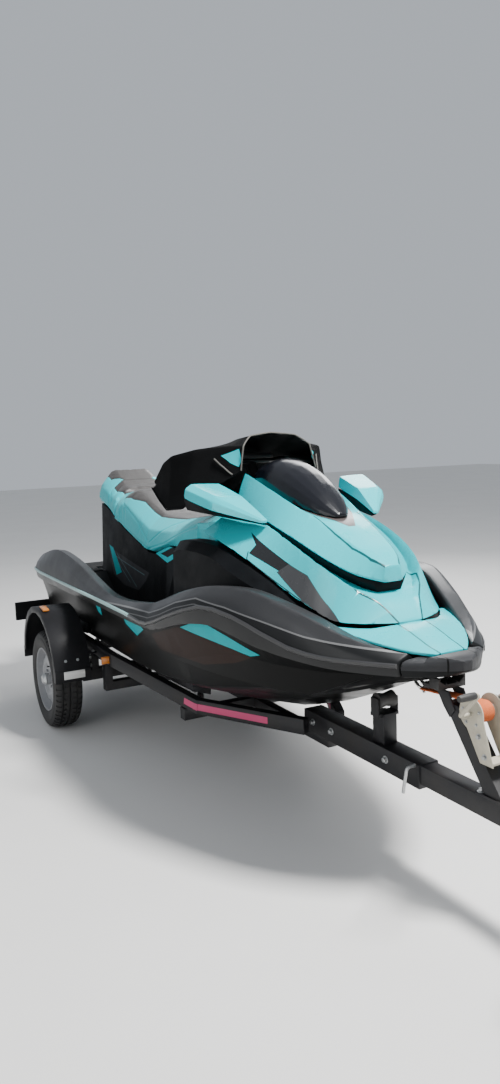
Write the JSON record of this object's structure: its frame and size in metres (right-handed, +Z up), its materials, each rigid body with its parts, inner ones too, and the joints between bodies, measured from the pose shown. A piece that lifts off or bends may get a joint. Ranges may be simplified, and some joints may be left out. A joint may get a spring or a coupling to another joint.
{
  "type": "personal watercraft on a road trailer",
  "caption": "Three-seat personal watercraft with jet pump, steering and front storage hood, strapped to a single-axle road trailer with a jockey wheel.",
  "frame": {"origin": "on the ground under the middle of the whole length, on the centreline", "axes": "+X towards the bow and the coupling, +Y to port, +Z up"},
  "size_m": [4.626, 1.612, 1.587],
  "materials": {
    "hull_gelcoat": "glossy black moulded hull with plain graphics",
    "black_moulding": "satin black moulded plastic",
    "deck_foam": "ribbed foam rubber",
    "grey_metallic": "dark grey metallic paint",
    "light_trim": "pale glossy rubbing strip",
    "teal_paint": "bright glossy paint",
    "smoked_screen": "dark glossy screen",
    "seat_vinyl": "coated cloth in two colours",
    "cover_cloth": "black coated cloth",
    "bar_black": "black powder coat",
    "grip_rubber": "soft black rubber",
    "stainless": "brushed stainless steel",
    "cast_alloy": "cast and painted alloy",
    "frame_steel": "black painted steel",
    "galvanised": "galvanised steel",
    "winch_paint": "cream painted steel",
    "webbing": "orange webbing",
    "carpet": "dark carpet on timber",
    "tyre": "road tyre rubber",
    "rim_silver": "silver painted steel",
    "guard_plastic": "black moulded plastic",
    "lamp_lens": "red and amber lens"
  },
  "bodies": {
    "craft": {"hull": "hull_gelcoat", "deck": "black_moulding", "console": "black_moulding", "gauge": "black_moulding", "sponsons": "black_moulding", "deck_mats": "deck_foam", "gunwale_port": "grey_metallic", "gunwale_starboard": "grey_metallic", "bow_bumper": "grey_metallic", "rub_rails": "light_trim", "nose_panel": "teal_paint", "seat_rear": "seat_vinyl", "seat_front": "seat_vinyl", "ride_plate": "bar_black", "grab_rail": "bar_black", "keel_roller": "grip_rubber", "bow_chock": "grip_rubber", "deck_fittings": "stainless", "intake_grate": "cast_alloy", "pump_housing": "cast_alloy", "engine_block": "cast_alloy", "side_rails": "frame_steel", "drawbar": "frame_steel", "crossmembers": "frame_steel", "axle": "frame_steel", "keel_post": "frame_steel", "winch_post": "frame_steel", "light_board": "frame_steel", "coupling": "galvanised", "jockey_clamp": "galvanised", "winch": "winch_paint", "winch_strap": "webbing", "bunks": "carpet", "mudguard_port": "guard_plastic", "mudguard_starboard": "guard_plastic", "lamps": "lamp_lens"},
    "steering": {"steering_column": "bar_black", "handlebar": "bar_black", "hand_grips": "grip_rubber", "handlebar_pad": "grip_rubber", "handlebar_cover": "cover_cloth"},
    "hood": {"hood": "teal_paint", "hood_cowl": "teal_paint", "cowl_vent": "black_moulding", "visor": "smoked_screen", "mirror_caps": "teal_paint", "mirror_housings": "black_moulding"},
    "impeller": {"impeller": "stainless"},
    "nozzle": {"jet_nozzle": "cast_alloy"},
    "bucket": {"reverse_bucket": "cast_alloy"},
    "step": {"boarding_step": "stainless"},
    "wheel_port": {"tyre_port": "tyre", "rim_port": "rim_silver"},
    "wheel_starboard": {"tyre_starboard": "tyre", "rim_starboard": "rim_silver"},
    "jockey_leg": {"jockey_tube": "galvanised"},
    "jockey_swivel": {"jockey_fork": "galvanised"},
    "jockey_wheel": {"jockey_wheel": "tyre"}
  },
  "joints": [
    {"name": "steering_turn", "type": "hinge", "parent": "craft", "child": "steering", "pos_m": [-0.059, 0, 1.275], "axis": [-0.4226, 0, 0.9063], "range_deg": [-20, 20]},
    {"name": "nozzle_swing", "type": "hinge", "parent": "craft", "child": "nozzle", "pos_m": [-2.009, 0, 0.455], "axis": [0, 0, 1], "range_deg": [-20, 20]},
    {"name": "bucket_drop", "type": "hinge", "parent": "craft", "child": "bucket", "pos_m": [-2.039, 0, 0.455], "axis": [0, -1, 0], "range_deg": [0, 73]},
    {"name": "impeller_spin", "type": "hinge", "parent": "craft", "child": "impeller", "pos_m": [-1.699, 0, 0.455], "axis": [1, 0, 0], "continuous": true},
    {"name": "hood_lift", "type": "hinge", "parent": "craft", "child": "hood", "pos_m": [1.023, 0, 0.893], "axis": [0, 1, 0], "range_deg": [0, 55]},
    {"name": "step_fold", "type": "hinge", "parent": "craft", "child": "step", "pos_m": [-2.107, 0, 0.525], "axis": [0, -1, 0], "range_deg": [0, 150]},
    {"name": "wheel_port_spin", "type": "hinge", "parent": "craft", "child": "wheel_port", "pos_m": [-1.209, 0.712, 0.27], "axis": [0, 1, 0], "continuous": true},
    {"name": "wheel_starboard_spin", "type": "hinge", "parent": "craft", "child": "wheel_starboard", "pos_m": [-1.209, -0.712, 0.27], "axis": [0, 1, 0], "continuous": true},
    {"name": "jockey_lift", "type": "slide", "parent": "craft", "child": "jockey_leg", "axis": [0, 0, 1], "range_m": [0, 0.095]},
    {"name": "jockey_turn", "type": "hinge", "parent": "jockey_leg", "child": "jockey_swivel", "pos_m": [1.911, -0.118, 0.219], "axis": [0, 0, 1], "continuous": true},
    {"name": "jockey_spin", "type": "hinge", "parent": "jockey_swivel", "child": "jockey_wheel", "pos_m": [1.871, -0.118, 0.1], "axis": [0, 1, 0], "continuous": true}
  ],
  "couplings": [
    {"joint": "nozzle_swing", "follows": "steering_turn", "ratio": -1}
  ]
}
